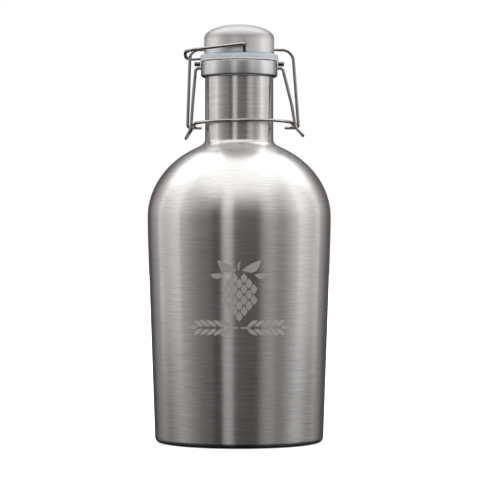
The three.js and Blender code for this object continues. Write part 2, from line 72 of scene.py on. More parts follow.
TAPER_TOP_Z = 145 * MM
SHOULDER_Z = 157 * MM
SHOULDER_HEIGHT = 54.8 * MM
BASE_RADIUS = 58.8 * MM
TAPER_TOP_RADIUS = 63.95 * MM
NECK_FILLET = 5 * MM
OUTER_WALL = 0.7 * MM
INNER_WALL = 0.6 * MM
VACUUM_SPACE = 3.6 * MM
NECK_VACUUM_SPACE = 1.2 * MM
BASE_CORNER = 3.5 * MM
REST_INNER_RADIUS = 49.5 * MM
RECESS_RADIUS = 45 * MM
RECESS_Z = 4 * MM
SEAL_HOLE_RADIUS = 1.6 * MM
INNER_CORNER = 10 * MM
MOUTH_TONGUE = 3.2 * MM
GASKET_BORE = 18.2 * MM
GASKET_SEAT_RADIUS = 22.3 * MM
GASKET_SEAT_Z = 268.4 * MM
BEAD_TOP_Z = 267 * MM
PLUG_RADIUS = 17.9 * MM
PLUG_TIP_RADIUS = 15.5 * MM
CAP_WALL = 0.8 * MM
CORE_SPLIT_Z = 274 * MM
DOME_Z = 282 * MM
WIRE_RADIUS = 1.1 * MM
WIRE_HOLE_RADIUS = 1.45 * MM
SLOT_WIDTH = 2 * MM
EYE_HALF_DEPTH = 2.6 * MM
HOOP_REACH = 25.9 * MM
HOOP_RISE = 1.45 * MM
LOOP_BEND_X = -23.6 * MM
LOOP_BEND_Z = 273.1 * MM
LOOP_TIP_Z = 271.7 * MM
LOOP_BACK_DROP = 3 * MM
LOOP_SQUARENESS = 3.6
LOOP_BEND = 1.5 * MM
LOOP_END_DEPTH = 3.5 * MM
LOOP_HOLE_DEPTH = 4 * MM
LEVER_END_DEPTH = 2.1 * MM
LEVER_ELBOW_X = 30.4 * MM
LEVER_ELBOW_BEND = 2.2 * MM
LEVER_KNEE_BEND = 25 * MM
LEVER_EYE_BEND = 5 * MM
BAIL_PIN_BEND = 2.5 * MM
BLEND_HEIGHT = 12 * MM
FILLET_RISE = 0.6
RECESS_BEND = 3 * MM
REST_BEND = 2 * MM
PLUG_NOSE_HEIGHT = 1.6 * MM
PLUG_NOSE_INSET = 0.7 * MM
GASKET_BEAD_DEPTH = 0.4 * MM

BODY_RADIUS = SHELL_HIGH.x
NECK_RADIUS = RING_HIGH.x
NECK_TOP_Z = SHELL_HIGH.z
MOUTH_Z = RING_HIGH.z
INNER_JOINT_Z = FLASK_LOW.z
CAP_RADIUS = CAP_HIGH.x
DOME_HEIGHT = CAP_HIGH.z - DOME_Z

# Edge roundings
FINE_EDGE = 0.15 * MM
CAP_EDGE = 0.2 * MM
LIP_EDGE = 0.45 * MM
COLLAR_FOOT_EDGE = 1.8 * MM
COLLAR_TOP_EDGE = 0.9 * MM
DISC_EDGE = 0.3 * MM
STUD_FOOT_EDGE = 0.1 * MM
STUD_END_EDGE = 0.55 * MM
CORE_FOOT_EDGE = 0.4 * MM
CORE_TOP_EDGE = 0.6 * MM
PLUG_TIP_EDGE = 0.5 * MM
PLUG_NOSE_EDGE = 1.2 * MM
PLUG_SIDE_EDGE = 1.5 * MM
FLANGE_EDGE = 0.2 * MM
GASKET_BORE_EDGE = 0.2 * MM
GASKET_FOOT_EDGE = 0.4 * MM
GASKET_BEAD_EDGE = 0.3 * MM
GASKET_TOP_EDGE = 1 * MM
WIRE_CHAMFER = 0.25 * MM

# Each side of the lever and the bail, as in the CAD routes
LEFT = {
    "sign": -1,
    "knee": (32.6 * MM, 236 * MM),
    "arm_x": 33.7 * MM,
    "toe": (37.2 * MM, 212 * MM),
    "over_pin": (31.2 * MM, 221.9 * MM),
    "bail_top_x": 34.3 * MM,
    "bail_bend": 6.5 * MM,
    "bail_pin_x": 36.2 * MM,
    "pin_end_x": 26.2 * MM,
}
RIGHT = {
    "sign": 1,
    "knee": (36.6 * MM, 236 * MM),
    "arm_x": 39.5 * MM,
    "toe": (44.6 * MM, 214 * MM),
    "over_pin": (37 * MM, 222.6 * MM),
    "bail_top_x": 37.4 * MM,
    "bail_bend": 8 * MM,
    "bail_pin_x": 41.6 * MM,
    "pin_end_x": 31.8 * MM,
}

SHELL_SEGMENTS = 192
RING_SEGMENTS = 144
SMALL_SEGMENTS = 64
WIRE_SIDES = 20
WALL_ROWS = 24
BLEND_ROWS = 12
SHOULDER_ROWS = 40
FILLET_ROWS = 10
NECK_ROWS = 12
DOME_ROWS = 28
INSULATION_ROWS = 16
SKIRT_ROWS = 8
HOOP_STEPS = 72
LOOP_STEPS = 60
HOLE_SIDES = 32
KEYHOLE_STEPS = 28
BEND_STEP = math.radians(6)
EDGE_STEP = math.radians(15)
FINE_EDGE_STEP = math.radians(9)
SHARP_ANGLE = math.radians(32)
# How far a cutter runs past what it cuts
CUT_OVERRUN = 5 * MM
# A profile point nearer the axis than this lies on it
ON_AXIS = 1e-9


# ---- Objects ----


def placed(name, data):
    """A new object in the scene for a mesh, light or camera."""
    item = bpy.data.objects.new(name, data)
    bpy.context.scene.collection.objects.link(item)
    return item


def made_mesh(name, bm):
    """The mesh that a bmesh holds. The bmesh is used up."""
    mesh = bpy.data.meshes.new(name)
    bm.to_mesh(mesh)
    bm.free()
    return mesh


# ---- Camera: in front of the bottle, a little above its middle ----

EYE = Vector((0, -1.6, 0.148))
TARGET = Vector((0.00056, 0, 0.1409))
SENSOR_WIDTH_MM = 36
FOCAL_LENGTH_MM = 171.4
camera_data = bpy.data.cameras.new("camera")
camera_data.sensor_width = SENSOR_WIDTH_MM
camera_data.lens = FOCAL_LENGTH_MM
camera = placed("camera", camera_data)
camera.location = EYE
camera.rotation_euler = (TARGET - EYE).to_track_quat("-Z", "Y").to_euler()
bpy.context.scene.camera = camera


# ---- Node helpers ----


class Nodes:
    """A node tree with short calls for adding nodes and joining them."""

    def __init__(self, tree):
        self.tree = tree
        tree.nodes.clear()

    def add(self, kind, **settings):
        node = self.tree.nodes.new(kind)
        for key, value in settings.items():
            setattr(node, key, value)
        return node

    def link(self, source, target):
        self.tree.links.new(source, target)

    def put(self, socket, value):
        if isinstance(value, bpy.types.NodeSocket):
            self.link(value, socket)
        else:
            socket.default_value = value

    def math(self, operation, first, second=None):
        node = self.add("ShaderNodeMath", operation=operation)
        self.put(node.inputs[0], first)
        if second is not None:
            self.put(node.inputs[1], second)
        return node.outputs[0]

    def remap(self, value, low, high, to_low, to_high, smooth=False):
        kind = "SMOOTHSTEP" if smooth else "LINEAR"
        node = self.add("ShaderNodeMapRange", interpolation_type=kind)
        for socket, number in zip(node.inputs, (value, low, high, to_low, to_high)):
            self.put(socket, number)
        return node.outputs[0]

    def split(self, vector):
        """A vector's three parts."""
        node = self.add("ShaderNodeSeparateXYZ")
        self.link(vector, node.inputs[0])
        return node.outputs

    def usual(self, noise, low, high):
        """A noise value's usual range, 0.3 to 0.7, spread from low to high."""
        return self.remap(noise, 0.3, 0.7, low, high)

    def ramp(self, value, stops):
        """A grey ramp through (position, level) stops."""
        node = self.add("ShaderNodeValToRGB")
        elements = node.color_ramp.elements
        while len(elements) < len(stops):
            elements.new(1.0)
        for element, (position, level) in zip(elements, stops):
            element.position = position
            element.color = (level, level, level, 1)
        self.put(node.inputs[0], value)
        return node.outputs[0]

    def mix_colour(self, factor, first, second, blend="MIX"):
        node = self.add("ShaderNodeMix", data_type="RGBA", blend_type=blend)
        self.put(node.inputs[0], factor)
        self.put(node.inputs[6], first)
        self.put(node.inputs[7], second)
        return node.outputs[2]

    def noise(self, vector, scale, detail=2.0, roughness=0.5):
        node = self.add("ShaderNodeTexNoise")
        self.put(node.inputs["Vector"], vector)
        node.inputs["Scale"].default_value = scale
        node.inputs["Detail"].default_value = detail
        node.inputs["Roughness"].default_value = roughness
        return node.outputs[0]


def new_material(name):
    """A material with one Principled shader, whose constant settings go on its own sockets."""
    material = bpy.data.materials.new(name)
    material.use_nodes = True
    nodes = Nodes(material.node_tree)
    output = nodes.add("ShaderNodeOutputMaterial")
    shader = nodes.add("ShaderNodeBsdfPrincipled")
    nodes.link(shader.outputs[0], output.inputs[0])
    return material, nodes, shader


def bump(nodes, shader, height, strength, distance):
    """Raises the surface by a height value, on the shader's own normal."""
    node = nodes.add("ShaderNodeBump")
    node.inputs["Strength"].default_value = strength
    node.inputs["Distance"].default_value = distance
    nodes.link(height, node.inputs["Height"])
    nodes.link(node.outputs[0], shader.inputs["Normal"])


def lined_vector(nodes, around, along):
    """Coordinates slow round the object and fast along its profile, which is UV's V in metres."""
    place = nodes.add("ShaderNodeTexCoord")
    x, y, _ = nodes.split(place.outputs["Object"])
    _, v, _ = nodes.split(place.outputs["UV"])
    joined = nodes.add("ShaderNodeCombineXYZ")
    for socket, value, rate in zip(joined.inputs, (x, y, v), (around, around, along)):
        nodes.link(nodes.math("MULTIPLY", value, rate), socket)
    return joined.outputs[0]


def brushed_steel(name, dark, light, roughness, anisotropy, grain=1.0, painted_shade_above=None):
    """Steel brushed round the axis: fine lines and broader bands, with cloudy wear in the roughness.

    The last argument, when given, holds the height above which the colour is darkened as painted shade, and
    the share of its colour that stays.
    """
    fine_share = 0.88
    streak = 0.02 * grain
    wear = 0.02
    fade_height = 4 * MM
    material, nodes, shader = new_material(name)
    fine = nodes.noise(lined_vector(nodes, around=75, along=1200), scale=1.0, detail=3, roughness=0.6)
    band = nodes.noise(lined_vector(nodes, around=26, along=520), scale=1.0, detail=2)
    place = nodes.add("ShaderNodeTexCoord")
    cloud = nodes.noise(place.outputs["Object"], scale=22, detail=3)
    fine_part = nodes.math("MULTIPLY", fine, fine_share)
    lines = nodes.math("ADD", fine_part, nodes.math("MULTIPLY", band, 1 - fine_share))
    spread = nodes.remap(lines, 0.31, 0.69, 0.0, 1.0)
    colour = nodes.mix_colour(spread, (*dark, 1), (*light, 1))
    # Painted shade: above the given height the colour darkens.
    if painted_shade_above:
        height, share = painted_shade_above
        _, _, z = nodes.split(place.outputs["Object"])
        fade = nodes.remap(z, height, height + fade_height, 1.0, share, smooth=True)
        colour = nodes.mix_colour(1.0, colour, fade, "MULTIPLY")
    nodes.link(colour, shader.inputs["Base Color"])
    streaky = nodes.usual(lines, roughness - streak, roughness + streak)
    cloudy = nodes.usual(cloud, -wear, wear)
    nodes.link(nodes.math("ADD", streaky, cloudy), shader.inputs["Roughness"])
    shader.inputs["Metallic"].default_value = 1.0
    shader.inputs["Anisotropic"].default_value = anisotropy
    shader.inputs["Anisotropic Rotation"].default_value = 0.25
    tangent = nodes.add("ShaderNodeTangent", direction_type="RADIAL", axis="Z")
    nodes.link(tangent.outputs[0], shader.inputs["Tangent"])
    bump(nodes, shader, lines, strength=0.04 * grain, distance=0.02 * MM)
    return material


def drawn_wire(name, dark, light):
    """Half-bright drawn wire: faint lines along it, and lighter and darker patches."""
    material, nodes, shader = new_material(name)
    place = nodes.add("ShaderNodeTexCoord")
    stretched = nodes.add("ShaderNodeMapping")
    across, along = 3200, 60
    stretched.inputs["Scale"].default_value = (across, along, 1)
    nodes.link(place.outputs["UV"], stretched.inputs[0])
    lines = nodes.noise(stretched.outputs[0], scale=1.0, detail=2)
    patch = nodes.noise(place.outputs["Object"], scale=70, detail=2)
    line_share = 0.3
    line_part = nodes.math("MULTIPLY", lines, line_share)
    tone = nodes.math("ADD", line_part, nodes.math("MULTIPLY", patch, 1 - line_share))
    spread = nodes.usual(tone, 0, 1)
    colour = nodes.mix_colour(spread, (*dark, 1), (*light, 1))
    nodes.link(colour, shader.inputs["Base Color"])
    nodes.link(nodes.usual(patch, 0.08, 0.14), shader.inputs["Roughness"])
    shader.inputs["Metallic"].default_value = 1.0
    bump(nodes, shader, lines, strength=0.1, distance=0.01 * MM)
    return material


def etched_steel(name):
    """The matte, frosted finish of an etched mark."""
    material, nodes, shader = new_material(name)
    place = nodes.add("ShaderNodeTexCoord")
    frost = nodes.noise(place.outputs["Object"], scale=2600, detail=2)
    cloud = nodes.noise(place.outputs["Object"], scale=60, detail=2)
    dark, light = (0.52, 0.5, 0.475, 1), (0.6, 0.58, 0.555, 1)
    colour = nodes.mix_colour(nodes.usual(cloud, 0, 1), dark, light)
    nodes.link(colour, shader.inputs["Base Color"])
    nodes.link(nodes.usual(frost, 0.5, 0.64), shader.inputs["Roughness"])
    shader.inputs["Metallic"].default_value = 0.9
    bump(nodes, shader, frost, strength=0.2, distance=0.02 * MM)
    return material


def silicone(name):
    """Milky blue-grey silicone with faint dust and moulding haze; its foot's bead is paler and warmer,
    partly the rubber's whiter tone and partly a painted highlight.
    """
    material, nodes, shader = new_material(name)
    place = nodes.add("ShaderNodeTexCoord")
    haze = nodes.noise(place.outputs["Object"], scale=90, detail=3)
    dust = nodes.noise(place.outputs["Object"], scale=1400, detail=2)
    dark, light, pale_bead_and_highlight_tone = (0.33, 0.37, 0.41, 1), (0.38, 0.42, 0.46, 1), (0.46, 0.43, 0.415, 1)
    colour = nodes.mix_colour(nodes.usual(haze, 0, 1), dark, light)
    _, _, z = nodes.split(place.outputs["Object"])
    # The bead below its top is painted paler and warmer: partly the rubber's whiter tone, partly a painted
    # highlight.
    pale_bead_and_highlight_share = nodes.remap(z, BEAD_TOP_Z - 0.2 * MM, BEAD_TOP_Z + 0.1 * MM, 1, 0)
    nodes.link(nodes.mix_colour(pale_bead_and_highlight_share, colour, pale_bead_and_highlight_tone), shader.inputs["Base Color"])
    nodes.link(nodes.usual(dust, 0.28, 0.38), shader.inputs["Roughness"])
    shader.inputs["Subsurface Weight"].default_value = 0.2
    shader.inputs["Subsurface Radius"].default_value = (1.0, 1.1, 1.2)
    shader.inputs["Subsurface Scale"].default_value = 2 * MM
    bump(nodes, shader, dust, strength=0.1, distance=0.03 * MM)
    return material


def grained(name, dark, light, roughness, grain_scale, depth, metallic=0.0):
    """A moulded, foamed, sintered or soldered solid: two tones and a fine grain."""
    material, nodes, shader = new_material(name)
    place = nodes.add("ShaderNodeTexCoord")
    cloud = nodes.noise(place.outputs["Object"], scale=70, detail=3)
    grain = nodes.noise(place.outputs["Object"], scale=grain_scale, detail=3)
    nodes.link(
        nodes.mix_colour(nodes.usual(cloud, 0, 1), (*dark, 1), (*light, 1)),
        shader.inputs["Base Color"],
    )
    wear = 0.05
    nodes.link(nodes.usual(grain, roughness - wear, roughness + wear), shader.inputs["Roughness"])
    shader.inputs["Metallic"].default_value = metallic
    bump(nodes, shader, grain, strength=0.3, distance=depth)
    return material


BODY_STEEL = brushed_steel(
    "body_steel", (0.522, 0.514, 0.504), (0.638, 0.629, 0.617), roughness=0.24, anisotropy=0.8
)
INNER_STEEL = brushed_steel(
    "inner_steel", (0.5, 0.49, 0.48), (0.6, 0.59, 0.58), roughness=0.4, anisotropy=0.5
)
COLLAR_STEEL = brushed_steel(
    "collar_steel", (0.63, 0.635, 0.655), (0.67, 0.675, 0.695), roughness=0.32, anisotropy=0.3, grain=0.5
)
CAP_STEEL = brushed_steel(
    "cap_steel",
    (0.73, 0.718, 0.71),
    (0.8, 0.788, 0.78),
    roughness=0.46,
    anisotropy=0.4,
    # Painted shade darkens the dome's colour above the skirt.
    painted_shade_above=(DOME_Z - 2 * MM, 0.52),
)
WIRE_STEEL = drawn_wire("wire_steel", (0.32, 0.297, 0.284), (0.44, 0.415, 0.4))
PIN_STEEL = drawn_wire("pin_steel", (0.12, 0.11, 0.105), (0.2, 0.185, 0.18))
ETCHED_STEEL = etched_steel("etched_steel")
SILICONE = silicone("silicone")
CORE_PLASTIC = grained("core_plastic", (0.018, 0.018, 0.019), (0.03, 0.03, 0.032), 0.5, 2200, 0.04 * MM)
PLUG_PLASTIC = grained("plug_plastic", (0.74, 0.74, 0.7), (0.82, 0.82, 0.79), 0.4, 1800, 0.02 * MM)
FOAM = grained("foam", (0.72, 0.66, 0.45), (0.82, 0.76, 0.56), 0.85, 1500, 0.15 * MM)
GETTER = grained("getter", (0.08, 0.08, 0.077), (0.14, 0.14, 0.135), 0.8, 2600, 0.08 * MM, metallic=0.6)
SOLDER = grained("solder", (0.28, 0.285, 0.29), (0.4, 0.405, 0.41), 0.42, 900, 0.05 * MM, metallic=1.0)


# ---- Profiles: lists of (radius, height) points ----


def rounded(corners, step=EDGE_STEP):
    """Closed or open profile from (radius, height, fillet) corners, with each fillet as an arc."""
    points = []
    last = len(corners) - 1
    closed = corners[0][0] > ON_AXIS
    for index, (radius, height, fillet) in enumerate(corners):
        here = Vector((radius, height))
        before = corners[index - 1] if index else corners[last]
        after = corners[index + 1] if index < last else corners[0]
        at_end = not closed and index in (0, last)
        if fillet == 0 or at_end:
            points.append(tuple(here))
            continue
        arriving = (here - Vector(before[:2])).normalized()
        leaving = (Vector(after[:2]) - here).normalized()
        turn = arriving.angle(leaving)
        reach = fillet * math.tan(turn / 2)
        start = here - arriving * reach
        inward = (leaving - arriving * math.cos(turn)).normalized()
        centre = start + inward * fillet
        steps = max(2, math.ceil(turn / step))
        for i in range(steps + 1):
            angle = turn * i / steps
            point = centre - inward * (fillet * math.cos(angle)) + arriving * (fillet * math.sin(angle))
            points.append(tuple(point))
    return points


def wall_radius(z):
    """The side wall leans out from the base to the top of its taper."""
    return BASE_RADIUS + (TAPER_TOP_RADIUS - BASE_RADIUS) * z / TAPER_TOP_Z


def cubic(start, start_slope, end, end_slope, steps):
    """Points after start on a Hermite curve to end, the slopes being whole tangent vectors."""
    points = []
    for i in range(1, steps + 1):
        t = i / steps
        points.append(
            start * (2 * t**3 - 3 * t**2 + 1)
            + start_slope * (t**3 - 2 * t**2 + t)
            + end * (3 * t**2 - 2 * t**3)
            + end_slope * (t**3 - t**2)
        )
    return [tuple(p) for p in points]


def bottle_surface(inset, neck_radius, bottom_z, top_z):
    """One surface of the bottle, set in by inset: tapered wall, elliptical shoulder, fillet and neck."""
    width = BODY_RADIUS - inset
    height = SHOULDER_HEIGHT - inset
    taper = (TAPER_TOP_RADIUS - BASE_RADIUS) / TAPER_TOP_Z
    blend_start_z = TAPER_TOP_Z - BLEND_HEIGHT
    points = []
    for i in range(WALL_ROWS + 1):
        z = bottom_z + (blend_start_z - bottom_z) * i / WALL_ROWS
        points.append((wall_radius(z) - inset, z))
    start = Vector(points[-1])
    end = Vector((width, SHOULDER_Z))
    rise = end.y - start.y
    points += cubic(start, Vector((taper * rise, rise)), end, Vector((0, rise)), BLEND_ROWS)
    fillet_radius = neck_radius + NECK_FILLET
    last_angle = math.acos(fillet_radius / width)
    for i in range(1, SHOULDER_ROWS + 1):
        angle = last_angle * i / SHOULDER_ROWS
        points.append((width * math.cos(angle), SHOULDER_Z + height * math.sin(angle)))
    slope = height / (width * math.tan(last_angle))
    start = Vector(points[-1])
    meeting = Vector((neck_radius, start.y + NECK_FILLET * slope))
    end = Vector((neck_radius, meeting.y + NECK_FILLET * FILLET_RISE))
    for i in range(1, FILLET_ROWS + 1):
        t = i / FILLET_ROWS
        points.append(tuple(start * (1 - t) ** 2 + meeting * (2 * t * (1 - t)) + end * t**2))
    for i in range(1, NECK_ROWS + 1):
        points.append((neck_radius, end.y + (top_z - end.y) * i / NECK_ROWS))
    return points


# ---- Meshes ----


def finish_mesh(name, mesh, material, body, replaced):
    """Makes the piece for a mesh: smooth with real edges, on its body, standing for its CAD nodes."""
    mesh.materials.append(material)
    mesh.shade_smooth()
    mesh.set_sharp_from_angle(angle=SHARP_ANGLE)
    piece = placed(name, mesh)
    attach(piece, body)
    if replaced:
        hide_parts(*replaced)


def turned(name, profile, segments):
    """A mesh turned about Z from a profile that runs anticlockwise, with U round it and V along it."""
    bm = bmesh.new()
    uv = bm.loops.layers.uv.new("UVMap")
    closed = profile[0][0] > ON_AXIS
    rings = []
    for radius, z in profile:
        if radius < ON_AXIS:
            rings.append([bm.verts.new((0, 0, z))] * segments)
            continue
        ring = []
        for i in range(segments):
            angle = 2 * math.pi * i / segments + math.pi / 2
            ring.append(bm.verts.new((radius * math.cos(angle), radius * math.sin(angle), z)))
        rings.append(ring)
    along = [0.0]
    looped = profile + [profile[0]]
    for first, second in zip(looped, looped[1:]):
        along.append(along[-1] + math.dist(first, second))
    around = 2 * math.pi * max(radius for radius, _ in profile)
    for index in range(len(profile) if closed else len(profile) - 1):
        lower = rings[index]
        upper = rings[(index + 1) % len(rings)]
        for i in range(segments):
            j = (i + 1) % segments
            corners = [
                (lower[i], i, index),
                (lower[j], i + 1, index),
                (upper[j], i + 1, index + 1),
                (upper[i], i, index + 1),
            ]
            kept = []
            for spot in corners:
                if spot[0] not in [k[0] for k in kept]:
                    kept.append(spot)
            if len(kept) < 3:
                continue
            face = bm.faces.new([k[0] for k in kept])
            for loop, (_, step, row) in zip(face.loops, kept):
                loop[uv].uv = (around * step / segments, along[row])
    return made_mesh(name, bm)


def corner(x, y, z, bend=0.0):
    """A corner of a wire's route, rounded to a bend radius. A bend of 0 keeps the point itself."""
    return Vector((x, y, z)), bend


def route(corners):
    """The stations along a wire: each bend as an arc that touches the straight runs on both sides."""
    straight = 1e-3
    closest = 0.03 * MM
    stations = [corners[0][0]]
    for (before, _), (here, bend), (after, _) in zip(corners, corners[1:], corners[2:]):
        arriving = (here - before).normalized()
        leaving = (after - here).normalized()
        turn = arriving.angle(leaving)
        if bend == 0 or turn < straight:
            stations.append(here)
            continue
        start = here - arriving * (bend * math.tan(turn / 2))
        inward = (leaving - arriving * math.cos(turn)).normalized()
        centre = start + inward * bend
        steps = max(3, math.ceil(turn / BEND_STEP))
        for i in range(steps + 1):
            angle = turn * i / steps
            point = centre - inward * (bend * math.cos(angle)) + arriving * (bend * math.sin(angle))
            stations.append(point)
    stations.append(corners[-1][0])
    kept = [stations[0]]
    for station in stations[1:]:
        if (station - kept[-1]).length > closest:
            kept.append(station)
    return kept


def wire(name, corners, replaced, body):
    """A round wire along a route, its ends cut square with a small chamfer."""
    stations = route(corners)
    end_radius = WIRE_RADIUS - WIRE_CHAMFER
    first = (stations[1] - stations[0]).normalized()
    last = (stations[-1] - stations[-2]).normalized()
    path = [(stations[0], end_radius), (stations[0] + first * WIRE_CHAMFER, WIRE_RADIUS)]
    path += [(station, WIRE_RADIUS) for station in stations[1:-1]]
    path += [(stations[-1] - last * WIRE_CHAMFER, WIRE_RADIUS), (stations[-1], end_radius)]
    bm = bmesh.new()
    uv = bm.loops.layers.uv.new("UVMap")
    normal = first.orthogonal().normalized()
    before = first
    rings = []
    lengths = []
    length = 0.0
    for index, (centre, radius) in enumerate(path):
        arriving = centre - path[max(index - 1, 0)][0]
        leaving = path[min(index + 1, len(path) - 1)][0] - centre
        tangent = (arriving.normalized() + leaving.normalized()).normalized()
        normal = before.rotation_difference(tangent) @ normal
        normal = (normal - tangent * normal.dot(tangent)).normalized()
        side = tangent.cross(normal)
        before = tangent
        ring = []
        for i in range(WIRE_SIDES):
            angle = 2 * math.pi * i / WIRE_SIDES
            ring.append(bm.verts.new(centre + (normal * math.cos(angle) + side * math.sin(angle)) * radius))
        rings.append(ring)
        length += arriving.length
        lengths.append(length)
    for index, (lower, upper) in enumerate(zip(rings, rings[1:])):
        for i in range(WIRE_SIDES):
            j = (i + 1) % WIRE_SIDES
            face = bm.faces.new((lower[i], lower[j], upper[j], upper[i]))
            corners_uv = [(i, index), (i + 1, index), (i + 1, index + 1), (i, index + 1)]
            for loop, (step, row) in zip(face.loops, corners_uv):
                loop[uv].uv = (2 * math.pi * WIRE_RADIUS * step / WIRE_SIDES, lengths[row])
    bm.faces.new(list(reversed(rings[0])))
    bm.faces.new(rings[-1])
    finish_mesh(name, made_mesh(name, bm), WIRE_STEEL, body, replaced)


def cutter(name, profile_points, along_x, offset, reach):
    """A prism for cutting a hole: an upright outline, moved across by offset and run along X or Y."""
    bm = bmesh.new()
    ends = []
    for side in reach:
        ring = []
        for across, z in profile_points:
            place = (side, across + offset, z) if along_x else (across + offset, side, z)
            ring.append(bm.verts.new(place))
        ends.append(ring)
    count = len(profile_points)
    for i in range(count):
        j = (i + 1) % count
        bm.faces.new((ends[0][i], ends[0][j], ends[1][j], ends[1][i]))
    bm.faces.new(list(reversed(ends[0])))
    bm.faces.new(ends[1])
    bmesh.ops.recalc_face_normals(bm, faces=bm.faces)
    return placed(name, made_mesh(name, bm))


def cut_holes(mesh, tools):
    """The mesh with the tools' volumes cut away. The tools are used up."""
    holder = placed("holder", mesh)
    for tool in tools:
        modifier = holder.modifiers.new("cut", "BOOLEAN")
        modifier.operation = "DIFFERENCE"
        modifier.solver = "EXACT"
        modifier.object = tool
    bpy.context.view_layer.update()
    evaluated = holder.evaluated_get(bpy.context.evaluated_depsgraph_get())
    made = bpy.data.meshes.new_from_object(evaluated)
    made.name = mesh.name
    for used in [holder, *tools]:
        bpy.data.objects.remove(used)
    return made


def circle_outline(radius, centre_z):
    points = []
    for i in range(HOLE_SIDES):
        angle = 2 * math.pi * i / HOLE_SIDES
        points.append((radius * math.cos(angle), centre_z + radius * math.sin(angle)))
    return points


def keyhole_outline(radius, centre_z, half_slot, bottom_z):
    """A round hole with a narrow slot from it down to bottom_z."""
    start = -math.pi / 2 + math.asin(half_slot / radius)
    sweep = 2 * (math.pi / 2 - start)
    points = [(half_slot, bottom_z)]
    for i in range(KEYHOLE_STEPS + 1):
        angle = start + sweep * i / KEYHOLE_STEPS
        points.append((radius * math.cos(angle), centre_z + radius * math.sin(angle)))
    points.append((-half_slot, bottom_z))
    return points


# ---- Bottle ----


def outer_shell():
    bottom_z = SHELL_LOW.z
    outer = bottle_surface(0, NECK_RADIUS, bottom_z, NECK_TOP_Z)
    inner = bottle_surface(OUTER_WALL, NECK_RADIUS - OUTER_WALL, bottom_z, NECK_TOP_Z)
    mesh = turned("shell", outer + inner[::-1], SHELL_SEGMENTS)
    finish_mesh("shell", mesh, BODY_STEEL, "bottle", ["outer_shell"])


def outer_base():
    """The pressed cup: flush corner, flat ring, raised middle, and a lip up inside the shell."""
    edge_radius = wall_radius(BASE_CORNER)
    lip_radius = edge_radius - OUTER_WALL - GAP
    top = BASE_HIGH.z
    lip_top_radius = wall_radius(top) - OUTER_WALL - GAP
    # The leaning wall leaves room for a little less than the whole corner
    corner_share = 0.97
    profile = rounded(
        [
            (SEAL_HOLE_RADIUS, RECESS_Z, 0),
            (RECESS_RADIUS, RECESS_Z, RECESS_BEND),
            (REST_INNER_RADIUS, 0, REST_BEND),
            (BASE_RADIUS, 0, BASE_CORNER * corner_share),
            (edge_radius, BASE_CORNER, 0),
            (lip_radius, BASE_CORNER, 0),
            (lip_top_radius, top, 0),
            (lip_top_radius - OUTER_WALL, top, 0),
            (lip_radius - OUTER_WALL, OUTER_WALL, BASE_CORNER - OUTER_WALL),
            (REST_INNER_RADIUS + OUTER_WALL / 2, OUTER_WALL, REST_BEND),
            (RECESS_RADIUS + OUTER_WALL / 2, RECESS_Z + OUTER_WALL, RECESS_BEND),
            (SEAL_HOLE_RADIUS, RECESS_Z + OUTER_WALL, 0),
        ],
        step=FINE_EDGE_STEP,
    )
    mesh = turned("base_cup", profile, SHELL_SEGMENTS)
    finish_mesh("base_cup", mesh, BODY_STEEL, "bottle", ["outer_base"])


def base_seal_disc():
    low, high, radius = DISC_LOW.z, DISC_HIGH.z, DISC_HIGH.x
    profile = rounded([(0, low, 0), (radius, low, DISC_EDGE), (radius, high, 0), (0, high, 0)])
    mesh = turned("seal_disc", profile, SMALL_SEGMENTS)
    finish_mesh("seal_disc", mesh, BODY_STEEL, "bottle", ["base_seal_disc"])


def inner_flask():
    inset = OUTER_WALL + VACUUM_SPACE
    neck = NECK_RADIUS - OUTER_WALL - NECK_VACUUM_SPACE
    outer = bottle_surface(inset, neck, INNER_JOINT_Z, NECK_TOP_Z)
    inner = bottle_surface(inset + INNER_WALL, neck - INNER_WALL, INNER_JOINT_Z, NECK_TOP_Z)
    mesh = turned("flask", outer + inner[::-1], RING_SEGMENTS)
    finish_mesh("flask", mesh, INNER_STEEL, "bottle", ["inner_flask"])


def inner_base():
    inset = OUTER_WALL + VACUUM_SPACE
    low, top = INNER_BASE_LOW.z, INNER_BASE_HIGH.z
    edge_z = INNER_JOINT_Z - GAP
    edge_radius = wall_radius(edge_z) - inset
    lip_inset = inset + INNER_WALL + GAP
    lip_radius = wall_radius(edge_z) - lip_inset
    lip_top_radius = wall_radius(top) - lip_inset
    tighter = 1.5 * MM
    profile = rounded(
        [
            (0, low, 0),
            (edge_radius, low, INNER_CORNER),
            (edge_radius, edge_z, 0),
            (lip_radius, edge_z, 0),
            (lip_top_radius, top, 0),
            (lip_top_radius - INNER_WALL, top, 0),
            (lip_radius - INNER_WALL, low + INNER_WALL, INNER_CORNER - tighter),
            (0, low + INNER_WALL, 0),
        ],
        step=FINE_EDGE_STEP,
    )
    mesh = turned("flask_base", profile, RING_SEGMENTS)
    finish_mesh("flask_base", mesh, INNER_STEEL, "bottle", ["inner_base"])


def mouth_ring():
    """The welded lip, with its rounded rim and the tongue between the walls."""
    under = NECK_TOP_Z + GAP
    bore = NECK_RADIUS - OUTER_WALL - NECK_VACUUM_SPACE - INNER_WALL
    tongue_inner = bore + INNER_WALL + GAP
    tongue_outer = NECK_RADIUS - OUTER_WALL - GAP
    profile = rounded(
        [
            (tongue_inner, under - MOUTH_TONGUE, 0),
            (tongue_outer, under - MOUTH_TONGUE, 0),
            (tongue_outer, under, 0),
            (NECK_RADIUS, under, 0),
            (NECK_RADIUS, MOUTH_Z, LIP_EDGE),
            (bore, MOUTH_Z, LIP_EDGE),
            (bore, under, 0),
            (tongue_inner, under, 0),
        ]
    )
    mesh = turned("lip", profile, RING_SEGMENTS)
    finish_mesh("lip", mesh, BODY_STEEL, "bottle", ["mouth_ring"])


